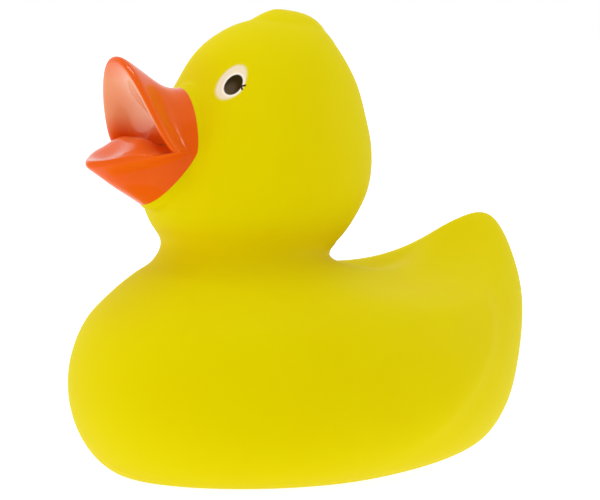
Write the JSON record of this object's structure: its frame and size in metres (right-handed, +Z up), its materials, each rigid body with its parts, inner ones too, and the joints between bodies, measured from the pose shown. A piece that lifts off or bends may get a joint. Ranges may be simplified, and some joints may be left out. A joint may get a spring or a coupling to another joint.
{
  "type": "rubber duck",
  "caption": "Hollow vinyl bath duck with a flat base, an upturned tail, a round head and an open beak.",
  "frame": {"origin": "on the base plane, under the middle of the duck's length and width", "axes": "-Y the way the beak points, +X the duck's left side, +Z up"},
  "size_m": [0.068, 0.087, 0.0813],
  "materials": {
    "yellow_vinyl": "satin yellow soft vinyl; the beak is painted glossy orange and the eyes cream and black"
  },
  "bodies": {
    "root": {"duck_body": "yellow_vinyl"}
  },
  "joints": []
}
